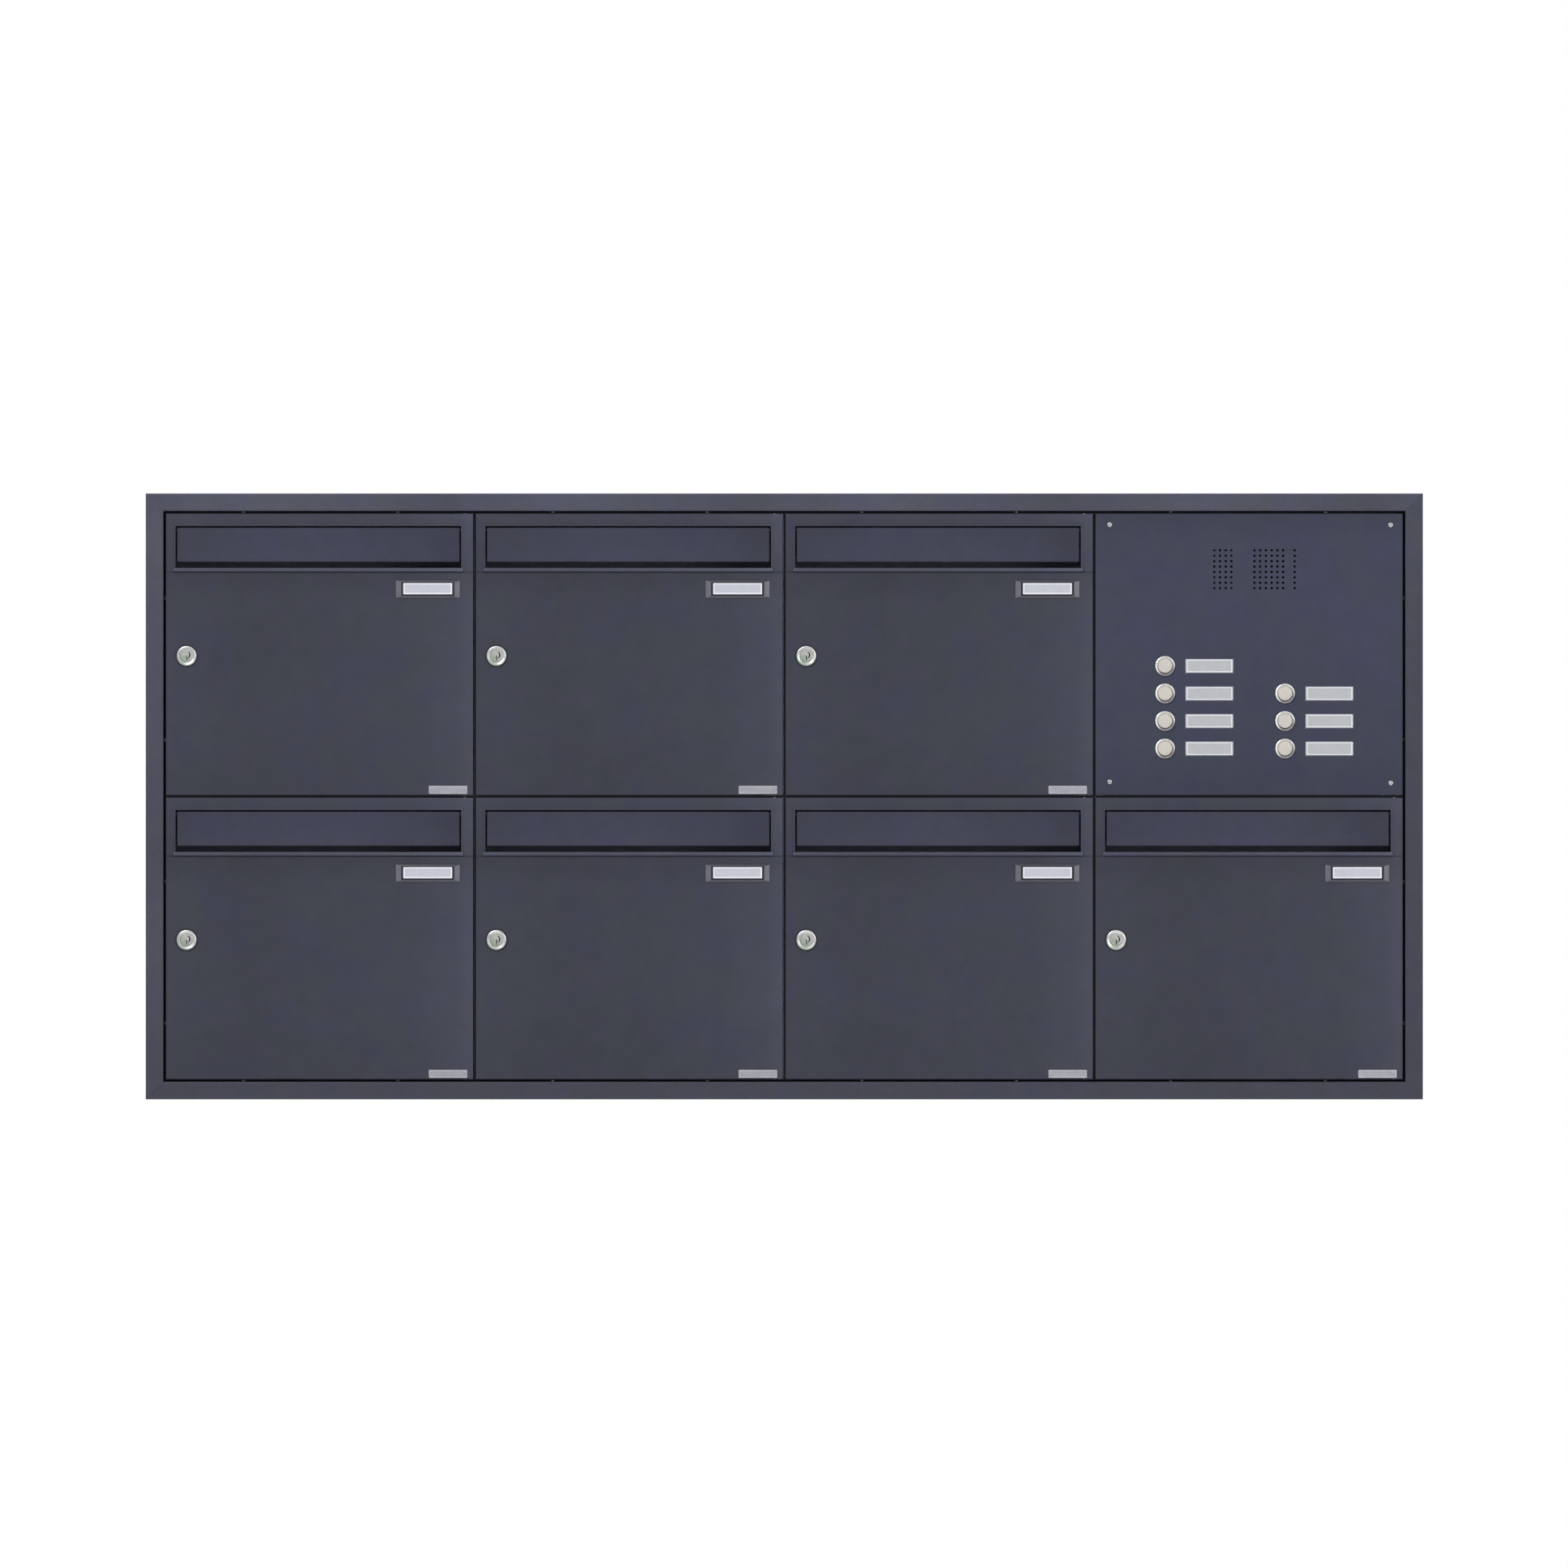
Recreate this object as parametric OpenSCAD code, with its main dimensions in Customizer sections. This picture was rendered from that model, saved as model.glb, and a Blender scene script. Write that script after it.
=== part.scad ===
// Flush-mounted mailbox bank: seven mailboxes and one bell and speech panel
// inside a surround frame. +X right, +Z up, the doors face -Y.
// The origin is the centre of the four rear fixing holes, on the rear face.

/* [Bank layout] */
// Width of one module, boundary to boundary
module_w = 360; // [352:1:372]
// Height of one module, boundary to boundary
module_h = 330; // [326:1:345]
// Depth from the rear face to the front face of the doors
body_d = 100; // [96:1:130]
// Gap between neighbouring doors
door_gap = 3; // [3:0.1:3.6]

/* [Surround frame] */
// Visible width of the surround flange
flange_w = 20.5; // [18:0.5:30]
// How far the flange stands proud of the door faces
flange_proud = 1; // [0.5:0.1:2]
// Depth of the return wall that goes into the wall niche
frame_return = 36; // [34:1:60]
// Clearance between the return wall and the module bank
frame_clear = 1.5; // [0.6:0.1:1.8]

/* [Sheet metal] */
// Thickness of the door and frame sheet
front_t = 1.5; // [1.2:0.1:1.6]
// Thickness of the box sheet
box_t = 1; // [0.8:0.1:1.2]
// Depth of the folded door pan
pan_d = 10.5; // [10:0.1:10.5]
// Outer radius of the folded front edges
fold_r = 0.9; // [0.8:0.1:1.4]

/* [Letter slot] */
// Left edge of the slot cut-out, from the module boundary
slot_x = 12.6; // [12:0.1:14]
// Width of the slot cut-out
slot_w = 332; // [328:1:333]
// Top edge of the slot cut-out, from the module boundary
slot_top = 15.7; // [14:0.1:18]
// Height of the slot cut-out
slot_h = 48.8; // [46:0.1:52]
// Side gap between the flap and the cut-out
flap_gap = 2; // [1.5:0.1:2.4]
// Height of the finger gap under the flap
finger_gap = 7; // [6:0.1:9]
// How far the drip lip below the slot stands proud
lip_proud = 2.4; // [1:0.1:3]

/* [Lock] */
// Lock centre from the left module boundary
lock_x = 25.5; // [24:0.1:28]
// Lock centre below the top module boundary
lock_z = 166.7; // [150:0.1:180]
// Diameter of the lock face
lock_face_d = 23.4; // [21:0.1:24]
// Radial running clearance of the turning pieces
run_clear = 0.05; // [0.03:0.01:0.08]

/* [Name plate] */
// Left edge of the name plate, from the module boundary
plate_x = 268.5; // [200:0.5:269]
// Top edge of the name plate, below the module boundary
plate_top = 79; // [76:0.5:90]
// Width of the name plate
plate_w = 74.5; // [74:0.5:76]
// Height of the name plate
plate_h = 20.5; // [20:0.5:22]

/* [Bell panel] */
// Diameter of the bell button ring
bell_ring_d = 23.3; // [22:0.1:24]
// Diameter of the moving bell button
bell_cap_d = 16; // [15:0.1:16]
// Vertical distance between bell rows
bell_pitch = 32; // [30:0.1:33]
// Width of a bell name window
window_w = 55.6; // [50:0.1:56]
// Height of a bell name window
window_h = 16.2; // [15:0.1:17]
// Diameter of a speech grille hole
grille_d = 3; // [2:0.1:3.4]

/* [Hidden] */
$fn = 48;

cols = 4;
rows = 2;
bank_w = cols * module_w;
bank_h = rows * module_h;
e = 0.01;
// Seam between sheets that are welded or lie on each other
seam = 0.02;

// Depth planes, front to back
y_front = -body_d;                    // door face
y_sheet = y_front + front_t;          // back of the door sheet
y_pan = y_front + pan_d;              // rear edge of the door pan
y_box = y_pan + 0.5;                  // front edge of the boxes
y_strike = y_box + 4.2;               // rear face of the lock strike
y_cam = y_strike + 0.8;               // front face of the lock cam
y_flange = y_front - flange_proud;    // flange face

// Door outline in its module
dx0 = door_gap / 2;
dx1 = module_w - door_gap / 2;
dz0 = -module_h + door_gap / 2;
dz1 = -door_gap / 2;

// Door hinge: a vertical pin inside the right edge of the pan
hinge_in = 10;
hinge_back = 6;
hinge_x = dx1 - hinge_in;
hinge_y = y_front + hinge_back;
pin_r = 2;

// Flap hinge: a horizontal axis behind the top of the slot
flap_ax_y = y_front + 5;
flap_ax_z = -slot_top - 4.6;
flap_x0 = slot_x + flap_gap;
flap_x1 = slot_x + slot_w - flap_gap;
flap_top = -slot_top - 2.1;
flap_bot = -slot_top - slot_h + finger_gap;
stub_r = 2;

box_lip = 10;
plug_r = 7;
barrel_r = 9.5;
cam_len = 22;

// Column and row of mailbox i, numbered left to right, top row first
function col(i) = i <= 3 ? i - 1 : i - 4;
function row(i) = i <= 3 ? 0 : 1;

// Bell k: column and row of the button on the panel
function bell_x(k) = k <= 4 ? 82.4 : 221.8;
function bell_label_x(k) = k <= 4 ? 134 : 273.5;
function bell_z(k) = -178.4 - bell_pitch * (k <= 4 ? k - 1 : k - 4);

// Speech grille columns: a microphone group, a loudspeaker group and one more row of holes
grille_cols = [0, 1, 2, 3, 7, 8, 9, 10, 11, 12, 14];
grille_x = 139.6;
grille_z = -44;
grille_px = 6.67;
grille_pz = 6.285;

screw_pos = [[18.1, -14.3], [module_w - 15.5, -14.6], [18.1, -module_h + 16.9], [module_w - 15.3, -module_h + 15.6]];

paint = "#464954";
paint_in = "#4b4e58";
nickel = "#c3c5c4";
steel = "#9b9d9f";

// ---------- helpers ----------

module in_cell(c, r) translate([-bank_w / 2 + c * module_w, 0, bank_h / 2 - r * module_h]) children();
module in_box(i) in_cell(col(i), row(i)) children();
module in_bell() in_cell(3, 0) children();

module blk(x0, x1, y0, y1, z0, z1) translate([x0, y0, z0]) cube([x1 - x0, y1 - y0, z1 - z0]);

module ycyl(x, z, y0, y1, r, fn = 48) translate([x, y0, z]) rotate([-90, 0, 0]) cylinder(h = y1 - y0, r = r, $fn = fn);

module xcyl(x0, x1, y, z, r, fn = 48) translate([x0, y, z]) rotate([0, 90, 0]) cylinder(h = x1 - x0, r = r, $fn = fn);

// Rectangle u0..u1 by v0..v1 with the two corners at v0 rounded
module soft_edge(u0, u1, v0, v1, r) {
  translate([u0 + r, v0 + r]) circle(r);
  translate([u1 - r, v0 + r]) circle(r);
  translate([u0 + r, v0]) square([u1 - u0 - 2 * r, v1 - v0]);
  translate([u0, v0 + r]) square([u1 - u0, v1 - v0 - r]);
}

// Block whose four front edges, at y0, are rounded as a folded sheet is
module soft_blk(x0, x1, y0, y1, z0, z1, r) {
  intersection() {
    translate([0, 0, z0]) linear_extrude(z1 - z0) soft_edge(x0, x1, y0, y1, r);
    translate([x0, 0, 0]) rotate([90, 0, 90]) linear_extrude(x1 - x0) rotate(90) mirror([0, 1]) soft_edge(z0, z1, y0, y1, r);
  }
}

// Revolved part about an axis along Y: its profile is drawn as [radius, depth from y0]
module yrev(x, z, y0) translate([x, y0, z]) rotate([-90, 0, 0]) rotate_extrude($fn = 64) children();

// ---------- surround frame ----------

// Flange with its folded inner edge, in section: depth along the first axis, height along the second
module flange_section(inner, half) {
  difference() {
    union() {
      translate([y_flange + 2, inner + 2]) circle(2);
      translate([y_flange, inner + 2]) square([front_t, flange_w - 2.5]);
      translate([y_flange + 0.5, inner + 2]) square([front_t - 0.5, flange_w - 2]);
      translate([y_flange + 0.5, half - 0.5]) circle(0.5);
    }
    translate([y_flange + front_t, inner + front_t]) square([3, 3]);
    translate([y_flange + 2, inner - 1]) square([4, 4]);
  }
}

// Return wall, with a small hem at its rear edge that lies on the boxes
module return_section(inner) {
  translate([y_flange + 2 + seam, inner]) square([frame_return - 2 - seam, front_t]);
  translate([y_flange + frame_return - front_t, inner - frame_clear]) square([front_t, frame_clear + e]);
}

module frame_side(len, half) intersection() {
  translate([-len / 2, 0, 0]) rotate([90, 0, 90]) linear_extrude(len) {
    flange_section(half - flange_w, half);
    return_section(half - flange_w);
  }
  // Mitre: the bar ends on the 45 degree lines through the corners
  rotate([90, 0, 0]) translate([0, 0, -10]) linear_extrude(body_d + 30)
    polygon([[-len / 2 + seam, half], [len / 2 - seam, half], [len / 2 - seam - flange_w - 30, half - flange_w - 30], [-len / 2 + seam + flange_w + 30, half - flange_w - 30]]);
}

module surround_frame() {
  fw = bank_w + 2 * (flange_w + frame_clear);
  fh = bank_h + 2 * (flange_w + frame_clear);
  color(paint) difference() {
    union() {
      frame_side(fw, fh / 2);
      rotate([0, 180, 0]) frame_side(fw, fh / 2);
      rotate([0, 90, 0]) frame_side(fh, fw / 2);
      rotate([0, -90, 0]) frame_side(fh, fw / 2);
    }
    // Ground weld seam at each mitred corner
    for (sx = [-1, 1], sz = [-1, 1])
      translate([sx * (fw / 2 - flange_w / 2), y_flange, sz * (fh / 2 - flange_w / 2)])
        rotate([0, sx * sz * -45, 0]) translate([-flange_w, -0.2, -0.15]) cube([2 * flange_w, 0.4, 0.3]);
    frame_bolts(0.3);
  }
}

// ---------- fasteners between the modules ----------

// Bolt along +Z through a wall stack of the given grip, head below, nut above
module bolt(grip, extra = 0) {
  if (extra > 0) {
    translate([0, 0, -grip - 3]) cylinder(h = 3 * grip + 6, r = 2.5 + extra, $fn = 32);
  } else {
    difference() {
      union() {
        translate([0, 0, -grip / 2 - 2.4]) cylinder(h = 2.4, r = 4.5, $fn = 32);
        translate([0, 0, -grip / 2 - 1]) cylinder(h = grip + 6, r = 2.5, $fn = 32);
        translate([0, 0, grip / 2]) cylinder(h = 4, r = 4.6, $fn = 6);
      }
      translate([0, 0, -grip / 2 - 3]) cylinder(h = 2, r = 1.7, $fn = 6);
    }
  }
}

// Module to module, through the two touching walls
module side_bolts(extra = 0) {
  for (r = [0, 1], c = [1, 2, 3], s = [0.25, 0.75])
    in_cell(c, r) translate([0, -45, -module_h * s]) rotate([0, 90, 0]) bolt(2 * box_t, extra);
  for (c = [0, 1, 2, 3], s = [0.25, 0.75])
    in_cell(c, 1) translate([module_w * s, -45, 0]) bolt(2 * box_t, extra);
}

// Surround frame to the outer modules, heads inside the boxes
module frame_bolts(extra = 0) {
  g = box_t + frame_clear + front_t;
  k = (frame_clear + front_t - box_t) / 2;
  for (c = [0, 1, 2, 3], s = [0.25, 0.75]) {
    translate([-bank_w / 2 + module_w * (c + s), y_front + 23, bank_h / 2 + k]) bolt(g, extra);
    translate([-bank_w / 2 + module_w * (c + s), y_front + 23, -bank_h / 2 - k]) rotate([180, 0, 0]) bolt(g, extra);
  }
  for (r = [0, 1], s = [0.3, 0.8]) {
    translate([-bank_w / 2 - k, y_front + 23, bank_h / 2 - module_h * (r + s)]) rotate([0, -90, 0]) bolt(g, extra);
    translate([bank_w / 2 + k, y_front + 23, bank_h / 2 - module_h * (r + s)]) rotate([0, 90, 0]) bolt(g, extra);
  }
}

module coupling_bolts() color(steel) {
  side_bolts();
  frame_bolts();
}

// ---------- mailbox shells ----------

// Rear fixing hole of a corner module, and nothing for the others
module rear_hole(c, r) {
  if (c == 0 || c == 3)
    in_cell(c, r) ycyl(c == 0 ? 60 : module_w - 60, r == 0 ? -45 : -module_h + 45, -box_t - 1, 1, 3.25);
}

// Hinge ear, in plan: a round eye and an arm that is welded to the front lip
module hinge_ear() {
  arm = y_box - seam - hinge_y;
  translate([hinge_x, hinge_y]) {
    circle(3.9);
    polygon([[0, -3.9], [-18, -3.9], [-18, arm], [-6.2, arm], [-5, 3.9], [0, 3.9]]);
  }
}

// Side walls, rear panel and front lips shared by all boxes; the right wall can be cut back at the front
module box_sheets(cut, lip_x0, lip_x1, lip_side) {
  t = box_t;
  blk(0, module_w, y_box, 0, -t, 0);
  blk(0, module_w, y_box, 0, -module_h, -module_h + t);
  blk(0, t, y_box, 0, -module_h + t + seam, -t - seam);
  blk(module_w - t, module_w, y_box + cut, 0, -module_h + t + seam, -t - seam);
  blk(t + seam, module_w - t - seam, -t, 0, -module_h + t + seam, -t - seam);
  // front lips on the top and bottom, and on one or both sides
  blk(lip_x0, lip_x1, y_box, y_box + t, -t - box_lip, -t - seam);
  blk(lip_x0, lip_x1, y_box, y_box + t, -module_h + t + seam, -module_h + t + box_lip);
  for (k = [0:lip_side]) translate([k * (module_w - 2 * t - seam - box_lip), 0, 0])
    blk(t + seam, t + box_lip, y_box, y_box + t, -module_h + t + box_lip + seam, -t - box_lip - seam);
}

module mailbox_shell(i) {
  color(paint_in) difference() {
    in_box(i) {
      difference() {
        union() {
          // the hinge side is cut back for the swinging door edge
          box_sheets(2, box_t + seam, hinge_x - 12, 0);
          // lock strike
          blk(box_t + seam, box_t + box_lip, y_box + box_t + seam, y_strike, -lock_z - 16, -lock_z + 16);
          // hinge ears
          translate([0, 0, dz1 - front_t - 2.5]) linear_extrude(2) hinge_ear();
          translate([0, 0, dz0 + front_t + 0.5]) linear_extrude(2) hinge_ear();
          // letter stop: a strip that keeps the post off the door, short of the door's swinging edge
          blk(box_t + seam, hinge_x - 10, y_box + 5, y_box + 6, -module_h + box_t + seam, -module_h + box_t + 22);
        }
        // eyes for the hinge pins
        translate([hinge_x, hinge_y, dz1 - 12]) cylinder(h = 12, r = pin_r + 0.03);
        translate([hinge_x, hinge_y, dz0]) cylinder(h = 12, r = pin_r + 0.03);
      }
    }
    rear_hole(col(i), row(i));
    side_bolts(0.1);
    frame_bolts(0.1);
  }
}

// ---------- door hinge pins ----------

module hinge_pin(z, s) translate([hinge_x, hinge_y, z]) scale_z(s) {
  translate([0, 0, -6]) cylinder(h = 6 + front_t + 0.4, r = pin_r);
  translate([0, 0, -0.5]) cylinder(h = 0.35, r = 3.4);
  translate([0, 0, -4]) cylinder(h = 1.5, r = 3.2);
}

module scale_z(s) mirror([0, 0, s < 0 ? 1 : 0]) children();

module door_hinge_pins() color(steel) for (i = [1:7]) in_box(i) {
  hinge_pin(dz1 - front_t, 1);
  hinge_pin(dz0 + front_t, -1);
}

// ---------- doors ----------

module door_panel(i) color(paint) in_box(i) difference() {
  union() {
    difference() {
      soft_blk(dx0, dx1, y_front, y_pan, dz0, dz1, fold_r);
      blk(dx0 + front_t, dx1 - front_t, y_sheet, y_pan + 1, dz0 + front_t, dz1 - front_t);
    }
    // raised rim around the slot
    soft_blk(slot_x - 2.6, slot_x + slot_w + 2.4, y_front - 0.5, y_front + 1, -slot_top - slot_h - 2, -slot_top + 2.4, 0.4);
    // drip lip under the slot
    soft_blk(slot_x - 2.6, slot_x + slot_w + 2.4, y_front - lip_proud, y_front + 1, -slot_top - slot_h - 4.4, -slot_top - slot_h, 0.85);
    // ledge folded inwards under the slot
    blk(slot_x - 1, slot_x + slot_w + 1, y_sheet - e, y_front + 9, -slot_top - slot_h - 1.5, -slot_top - slot_h);
    // ears that carry the flap hinge
    for (x = [slot_x - 3.6, slot_x + slot_w + 1.6])
      blk(x, x + 2, y_sheet - e, flap_ax_y + 4, flap_ax_z - 4, flap_ax_z + 4.5);
  }
  // slot
  blk(slot_x, slot_x + slot_w, y_front - 5, y_sheet + e, -slot_top - slot_h, -slot_top);
  // flap hinge bores
  xcyl(slot_x - 5, slot_x - 1, flap_ax_y, flap_ax_z, stub_r + run_clear);
  xcyl(slot_x + slot_w + 1, slot_x + slot_w + 5, flap_ax_y, flap_ax_z, stub_r + run_clear);
  // hinge pin bores in the top and bottom folds
  translate([hinge_x, hinge_y, dz1 - front_t - 1]) cylinder(h = 4, r = pin_r + run_clear);
  translate([hinge_x, hinge_y, dz0 - 1]) cylinder(h = 4, r = pin_r + run_clear);
  // lock hole
  ycyl(lock_x, -lock_z, y_front - 1, y_sheet + 1, barrel_r + 0.1);
  // window behind the name plate
  blk(plate_x + 7, plate_x + plate_w - 7, y_front - 1, y_sheet + 1, -plate_top - plate_h + 2, -plate_top - 2);
}

// ---------- letter flaps ----------

module letter_flap(i) color(paint) in_box(i) {
  difference() {
    union() {
      soft_blk(flap_x0, flap_x1, y_front + 0.5, y_front + 2, flap_bot, flap_top, 0.7);
      // web and rolled tube at the hinge
      blk(flap_x0 + 1, flap_x1 - 1, y_front + 2 - e, flap_ax_y, flap_ax_z - 1.5, flap_ax_z + 1.5);
      xcyl(flap_x0 + 0.5, flap_x1 - 0.5, flap_ax_y, flap_ax_z, 3);
      // hinge stubs
      xcyl(slot_x - 4.8, flap_x0 + 2, flap_ax_y, flap_ax_z, stub_r);
      xcyl(flap_x1 - 2, slot_x + slot_w + 4.8, flap_ax_y, flap_ax_z, stub_r);
      // hem along the lower edge
      blk(flap_x0 + 1.5, flap_x1 - 1.5, y_front + 2 - e, y_front + 8, flap_bot, flap_bot + 1.5);
    }
    // rounded corners
    for (x = [flap_x0, flap_x1], z = [flap_bot, flap_top])
      translate([x, 0, z]) mirror([x == flap_x1 ? 1 : 0, 0, 0]) mirror([0, 0, z == flap_top ? 1 : 0])
        difference() {
          blk(-1, 2, y_front, y_front + 2.2, -1, 2);
          ycyl(2, 2, y_front - 1, y_front + 3, 2);
        }
  }
}

// ---------- locks ----------

module lock_barrel(i) color(nickel) in_box(i) {
  fr = lock_face_d / 2;
  ri = plug_r + run_clear;
  yrev(lock_x, -lock_z, y_front - 3) {
    // dished face and rounded edge
    polygon([[ri, 0.5], [8, 0.5], [fr - 1.5, 0], [fr - 1.5, 3], [ri, 3]]);
    translate([fr - 1.5, 1.5]) square([1.5, 1.5]);
    intersection() {
      translate([fr - 1.5, 1.5]) circle(1.5);
      translate([fr - 1.5, 0]) square([1.5, 1.6]);
    }
    translate([ri, 2.9]) square([barrel_r - ri, y_cam - 0.2 - y_front + 0.1]);
  }
  // fixing nut behind the door sheet
  difference() {
    ycyl(lock_x, -lock_z, y_sheet, y_sheet + 3, 13.5, 6);
    ycyl(lock_x, -lock_z, y_sheet - 1, y_sheet + 4, barrel_r + 0.1);
  }
}

module lock_cylinder(i) color(nickel) in_box(i) difference() {
  union() {
    yrev(lock_x, -lock_z, y_front - 2.5)
      polygon([[0, 0], [plug_r - 0.35, 0], [plug_r, 0.35], [plug_r, y_cam + 1 - y_front + 2.5], [0, y_cam + 1 - y_front + 2.5]]);
    translate([lock_x, 0, -lock_z]) {
      // cam, hanging down when unlocked
      ycyl(0, 0, y_cam, y_cam + 2, 8);
      blk(-5.5, 5.5, y_cam, y_cam + 2, -cam_len + 3, 0);
      ycyl(-2.5, -cam_len + 3, y_cam, y_cam + 2, 3);
      ycyl(2.5, -cam_len + 3, y_cam, y_cam + 2, 3);
      blk(-2.5, 2.5, y_cam, y_cam + 2, -cam_len, -cam_len + 4);
      // cam screw
      ycyl(0, 0, y_cam + 1.5, y_cam + 4.5, 4.2, 6);
    }
  }
  // keyway: a crescent that guides the key, beside a narrow slit
  translate([lock_x, 0, -lock_z]) {
    difference() {
      ycyl(0.6, 0.9, y_front - 4, y_front + 2, 4.1);
      ycyl(-1.1, 0.9, y_front - 5, y_front + 3, 4.3);
    }
    blk(-0.25, 0.75, y_front - 4, y_front + 4, -5.4, 0.6);
  }
}

// ---------- name plates ----------

module name_plate(i) color("#6f727a") in_box(i) difference() {
  union() {
    soft_blk(plate_x, plate_x + plate_w, y_front - 2, y_front, -plate_top - plate_h, -plate_top, 1);
    blk(plate_x + 7.3, plate_x + plate_w - 7.3, y_front - e, y_sheet + 2, -plate_top - plate_h + 2.3, -plate_top - 2.3);
  }
  // seat of the name card
  blk(plate_x + plate_w / 2 - 28.8, plate_x + plate_w / 2 + 28.8, y_front - 3, y_front - 1.3, -plate_top - plate_h / 2 - 7, -plate_top - plate_h / 2 + 7);
}

// ---------- bell and speech panel ----------

module intercom_back_box() color(paint_in) difference() {
  in_bell() {
    difference() {
      union() {
        box_sheets(0, 26, module_w - 26, 1);
        // corner gussets, and the panel screw posts between them and the panel
        for (p = screw_pos) {
          x0 = p[0] < 100 ? box_t + box_lip + seam : p[0] - 7;
          x1 = p[0] < 100 ? p[0] + 7 : module_w - box_t - box_lip - seam;
          z0 = p[1] > -100 ? p[1] - 7 : -module_h + box_t + seam;
          z1 = p[1] > -100 ? -box_t - seam : p[1] + 7;
          blk(x0, x1, y_box, y_box + box_t, z0, z1);
          ycyl(p[0], p[1], y_sheet, y_box - seam, 4.6);
          ycyl(p[0], p[1], y_box + box_t + seam, y_box + 6, 4.6);
        }
        // spacers for the terminal board
        for (x = [110, 210], z = [-130, -180]) ycyl(x, z, -9, -box_t - seam, 3.2);
      }
      for (p = screw_pos) ycyl(p[0], p[1], y_front, y_box + 10, 2.02);
      // cable entry
      ycyl(180, -270, -box_t - 1, 1, 10.1);
    }
  }
  rear_hole(3, 0);
  side_bolts(0.1);
  frame_bolts(0.1);
}

module intercom_panel() color("#474b5a") in_bell() difference() {
  soft_blk(dx0, dx1, y_front, y_pan, dz0, dz1, fold_r);
  blk(dx0 + front_t, dx1 - front_t, y_sheet, y_pan + 1, dz0 + front_t, dz1 - front_t);
  for (p = screw_pos) ycyl(p[0], p[1], y_front - 1, y_sheet + 1, 2.2);
  for (k = [1:7]) {
    ycyl(bell_x(k), bell_z(k), y_front - 1, y_sheet + 1, 9.6);
    blk(bell_label_x(k) - window_w / 2 - 0.2, bell_label_x(k) + window_w / 2 + 0.2, y_front - 1, y_sheet + 1,
        bell_z(k) - window_h / 2 - 0.2, bell_z(k) + window_h / 2 + 0.2);
  }
  for (c = grille_cols, r = [0:7])
    ycyl(grille_x + c * grille_px, grille_z - r * grille_pz, y_front - 1, y_sheet + 1, grille_d / 2, 16);
}

module panel_screws() color(nickel) in_bell() for (p = screw_pos) difference() {
  union() {
    yrev(p[0], p[1], y_front - 1.3) {
      translate([0, 0.65]) square([2.75, 0.65]);
      square([2.1, 1.3]);
      translate([2.1, 0.65]) circle(0.65);
    }
    ycyl(p[0], p[1], y_front - 0.1, y_box + 4, 1.95);
  }
  ycyl(p[0], p[1], y_front - 2, y_front - 0.3, 1.25, 6);
}

module bell_button_housings() color(nickel) in_bell() for (k = [1:7]) {
  br = bell_cap_d / 2 + run_clear + 0.03;
  fr = bell_ring_d / 2;
  yrev(bell_x(k), bell_z(k), y_front - 2.4) {
    // ring: rounded outside, chamfered towards the cap
    polygon([[br, 1.45], [br + 0.25, 1.45], [9.9, 0.12], [10.45, 0], [10.45, 2.4], [br, 2.4]]);
    translate([10.45, 1.2]) square([fr - 10.45, 1.2]);
    intersection() {
      translate([10.45, fr - 10.45]) circle(fr - 10.45);
      translate([10.45, 0]) square([2, 1.3]);
    }
    translate([br, 2.3]) square([9.5 - br, 13]);
    translate([0, 14.3]) square([9.5, 1.5]);
  }
  // solder tags
  for (s = [-1, 1]) blk(bell_x(k) + s * 4 - 1.2, bell_x(k) + s * 4 + 1.2, y_front + 13, y_front + 19, bell_z(k) - 0.4, bell_z(k) + 0.4);
  // fixing nut
  difference() {
    ycyl(bell_x(k), bell_z(k), y_sheet, y_sheet + 3, 13, 6);
    ycyl(bell_x(k), bell_z(k), y_sheet - 1, y_sheet + 4, 9.6);
  }
}

module bell_button(k) color("#d8d2c6") in_bell() {
  cr = bell_cap_d / 2;
  er = 0.8;
  sag = 40 - sqrt(1600 - pow(cr - er, 2));
  yrev(bell_x(k), bell_z(k), y_front - 4) {
    // domed cap with a rounded rim
    intersection() {
      translate([0, 40]) circle(40, $fn = 180);
      square([cr - er, 8]);
    }
    translate([cr - er, sag + er]) circle(er);
    translate([cr - er - 0.1, sag + er]) square([er + 0.1, 6.9 - sag - er]);
    translate([0, 4]) square([2.6, 8.6]);
  }
}

module bell_name_windows() color("#c9ccd0") in_bell() for (k = [1:7]) {
  x = bell_label_x(k);
  z = bell_z(k);
  soft_blk(x - window_w / 2, x + window_w / 2, y_front - 0.3, y_sheet + 1, z - window_h / 2, z + window_h / 2, 0.3);
  blk(x - window_w / 2 - 2, x + window_w / 2 + 2, y_sheet, y_sheet + 1.6, z - window_h / 2 - 1.8, z + window_h / 2 + 1.8);
}

module speech_module() color("#26282c") in_bell() difference() {
  union() {
    blk(131, 247, y_sheet, y_front + 22, -97, -35);
    blk(150, 228, y_front + 22 - e, y_front + 30, -90, -42);
  }
  ycyl(206, -66, y_sheet - 1, y_sheet + 7, 26, 64);
  ycyl(149.6, -66, y_sheet - 1, y_sheet + 5, 14);
  blk(139.6, 159.6, y_sheet - 1, y_sheet + 5, -92, -40);
  blk(184, 236, y_sheet - 1, y_sheet + 3, -92, -40);
  // loudspeaker magnet boss is left standing by two ring grooves
  difference() {
    ycyl(206, -66, y_sheet, y_sheet + 9, 20, 64);
    ycyl(206, -66, y_sheet - 1, y_sheet + 10, 9, 64);
  }
}

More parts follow.
